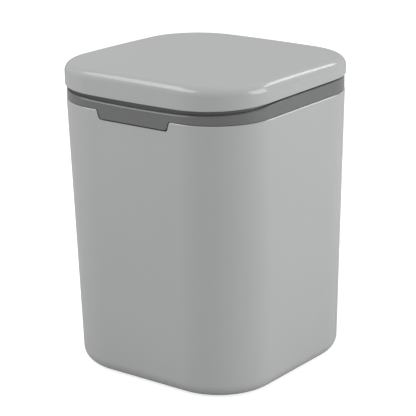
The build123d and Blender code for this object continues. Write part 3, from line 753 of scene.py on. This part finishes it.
knuckle_inner = 9.7
knuckle_outer = 19.7
knuckle_web_front_y = 74.2
knuckle_web_rear_y = 75.65
knuckle_web_top_z = 193.0
post_reach = 49
post_radius = 3.4
post_foot_z = 193.02
post_top_z = 199.0
additions = bmesh.new()
for side in (-1, 1):
    low, high = sorted((side * knuckle_inner, side * knuckle_outer))
    rod_into(additions, "X", barrel_radius, (low, axis_y, axis_z), (high, axis_y, axis_z), steps=64)
    prism_into(
        additions,
        [(low, knuckle_web_front_y, axis_z + stop_rise), (low, knuckle_web_front_y, knuckle_web_top_z),
         (low, knuckle_web_rear_y, knuckle_web_top_z),
         (low, axis_y + barrel_side, axis_z + barrel_shoulder), (low, axis_y, axis_z)],
        (high - low, 0, 0),
    )
for x in (-post_reach, post_reach):
    for y in (-post_reach, post_reach):
        top_z = post_top_z - lid_fall * y / (2 * half_width)
        rod_into(additions, "Z", post_radius, (x, y, post_foot_z), (x, y, top_z))
combine(lid, additions, "UNION")

hinge_side_gap = 0.3
coil_room = 5.0
knuckle_bore = pin_radius + 0.1
room = bmesh.new()
for side in (-1, 1):
    near, far = sorted((side * knuckle_outer, side * (ear_outer + hinge_side_gap)))
    rod_into(room, "X", barrel_room, (near, axis_y, axis_z), (far, axis_y, axis_z), steps=64)
rod_into(room, "X", coil_room, (-knuckle_inner, axis_y, axis_z), (knuckle_inner, axis_y, axis_z), steps=64)
combine(lid, room, "DIFFERENCE")
bore = bmesh.new()
bore_reach = knuckle_outer + past
rod_into(bore, "X", knuckle_bore, (-bore_reach, axis_y, axis_z), (bore_reach, axis_y, axis_z))
combine(lid, bore, "DIFFERENCE")
soften(lid)
lid.data.materials.append(gloss_grey)
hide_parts("lid_shell")
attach(lid, "lid")


# Lid spring: a torsion spring in 1 mm steel wire round the hinge pin, wound as one piece. Its lower leg
# sits in the band's back wall and its upper leg presses under the lid, so the real spring winds up as the
# lid shuts; here it keeps one shape and stays where it is built.
def drawn_steel(name, tone, roughness, streak_size):
    """Bright steel with fine drawing marks and slightly uneven shine."""
    material = bpy.data.materials.new(name)
    material.use_nodes = True
    nodes, links = material.node_tree.nodes, material.node_tree.links
    metal = nodes["Principled BSDF"]
    metal.inputs["Metallic"].default_value = 1
    place = nodes.new("ShaderNodeTexCoord")
    marks = nodes.new("ShaderNodeTexNoise")
    marks.inputs["Scale"].default_value = 1000 / streak_size
    marks.inputs["Detail"].default_value = 4
    tones = nodes.new("ShaderNodeValToRGB")
    tones.color_ramp.elements[0].position = 0.3
    tones.color_ramp.elements[0].color = [tone * 0.9] * 3 + [1]
    tones.color_ramp.elements[1].position = 0.7
    tones.color_ramp.elements[1].color = [tone] * 3 + [1]
    shine = nodes.new("ShaderNodeMapRange")
    shine.inputs["To Min"].default_value = roughness - 0.05
    shine.inputs["To Max"].default_value = roughness + 0.07
    scratch = nodes.new("ShaderNodeBump")
    scratch.inputs["Strength"].default_value = 0.15
    scratch.inputs["Distance"].default_value = 0.00003
    links.new(place.outputs["Object"], marks.inputs["Vector"])
    links.new(marks.outputs["Fac"], tones.inputs["Fac"])
    links.new(tones.outputs["Color"], metal.inputs["Base Color"])
    links.new(marks.outputs["Fac"], shine.inputs["Value"])
    links.new(shine.outputs["Result"], metal.inputs["Roughness"])
    links.new(marks.outputs["Fac"], scratch.inputs["Height"])
    links.new(scratch.outputs["Normal"], metal.inputs["Normal"])
    return material


def coil_into(shape, axis, centre, radius, wire, turns, start, first, last, steps_per_turn, sides):
    """Coil of round wire wound about X or Z from one height on the axis to another, with flat ends."""
    steps = round(turns * steps_per_turn)
    along = Vector((1, 0, 0)) if axis == "X" else Vector((0, 0, 1))
    zero = Vector((0, 1, 0)) if axis == "X" else Vector((1, 0, 0))
    out = Matrix.Rotation(start, 3, along) @ zero
    ring = bmesh.ops.create_circle(shape, cap_ends=True, segments=sides, radius=wire / 2 * mm)["verts"]
    facing = Matrix((out, along, out.cross(along))).transposed()
    bmesh.ops.rotate(shape, cent=(0, 0, 0), matrix=facing, verts=ring)
    bmesh.ops.translate(shape, vec=(centre + radius * out + first * along) * mm, verts=ring)
    bmesh.ops.spin(
        shape, geom=list(shape.faces) + list(shape.edges) + ring, cent=centre * mm, axis=along,
        dvec=(last - first) / steps * along * mm, angle=2 * pi * turns, steps=steps, use_merge=False,
        use_normal_flip=False, use_duplicate=False,
    )


upper_leg = 5.8
upper_leg_angle = radians(80)
whole_turns = 9
spring_turns = whole_turns + (upper_leg_angle - lower_leg_angle) / (2 * pi)
spring_centre = Vector((0, axis_y, axis_z))
shape = bmesh.new()
coil_into(
    shape, "X", spring_centre, spring_radius, spring_wire, spring_turns, start=lower_leg_angle,
    first=-spring_half_span, last=spring_half_span, steps_per_turn=28, sides=12,
)
for angle, length, side in ((lower_leg_angle, -lower_leg, -1), (upper_leg_angle, upper_leg, 1)):
    way = Vector((0, -sin(angle), cos(angle)))
    ends = [f for f in shape.faces if len(f.verts) > 4]
    end = max(ends, key=lambda f: f.calc_center_median().x * side)
    pushed = bmesh.ops.extrude_face_region(shape, geom=[end])["geom"]
    tips = [g for g in pushed if isinstance(g, bmesh.types.BMVert)]
    bmesh.ops.translate(shape, vec=way * length * mm, verts=tips)
    if end.is_valid:
        bmesh.ops.delete(shape, geom=[end], context="FACES_ONLY")
lid_spring = object_from(shape, "torsion_spring")
soften(lid_spring, sharp_angle=50)
spring_steel = drawn_steel("spring_steel", tone=0.62, roughness=0.30, streak_size=0.8)
lid_spring.data.materials.append(spring_steel)
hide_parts("lid_spring")
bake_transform(lid_spring)


# Catch spring: a compression spring in half-millimetre steel wire under the plunger. It is wound as one
# piece and stands on the cap of the catch's case. The real spring shortens as the plunger goes down; here
# it keeps one length and moves with the collar.
catch_spring_foot = 158.0
catch_spring_top = 171.8
catch_spring_radius = 1.75
catch_spring_turns = 7
catch_wire = 0.5
shape = bmesh.new()
coil_into(
    shape, "Z", Vector((0, catch_y, 0)), catch_spring_radius, catch_wire, catch_spring_turns, start=0.0,
    first=catch_spring_foot + catch_wire / 2, last=catch_spring_top - catch_wire / 2,
    steps_per_turn=28, sides=10,
)
catch_spring = object_from(shape, "compression_spring")
soften(catch_spring, sharp_angle=50)
catch_spring.data.materials.append(spring_steel)
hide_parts("latch_spring")
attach(catch_spring, "collar")
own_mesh(catch_spring)


# Pieces that model.glb already shapes: the catch's case, cap, plunger, jaws and striker are small plastic
# mouldings, the liner and seal close the lid's underside, and the pins and screws are steel.
white_plastic = moulded_plastic(
    "white_plastic", (0.70, 0.70, 0.68), roughness=0.42, ripple=0.03, grain=0.12, grain_size=0.3,
)
dark_plastic = moulded_plastic(
    "dark_plastic", (0.035, 0.035, 0.037), roughness=0.40, ripple=0.03, grain=0.12, grain_size=0.3,
)
bright_steel = drawn_steel("bright_steel", tone=0.70, roughness=0.25, streak_size=0.5)
seal_rubber = soft_rubber("seal_rubber", (0.045, 0.045, 0.047), speck_size=0.4)
for node, material in {
    "hinge_pin": bright_steel, "latch_housing": white_plastic, "latch_cap": white_plastic,
    "latch_screws": bright_steel, "latch_plunger": dark_plastic, "latch_track_pin": bright_steel,
    "latch_jaw_left": dark_plastic, "latch_jaw_right": dark_plastic, "jaw_pins": bright_steel,
    "lid_liner": satin_grey, "liner_screws": bright_steel, "lid_seal": seal_rubber,
    "lid_striker": white_plastic, "striker_screws": bright_steel,
}.items():
    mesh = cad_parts[node].data
    mesh.materials.clear()
    mesh.materials.append(material)
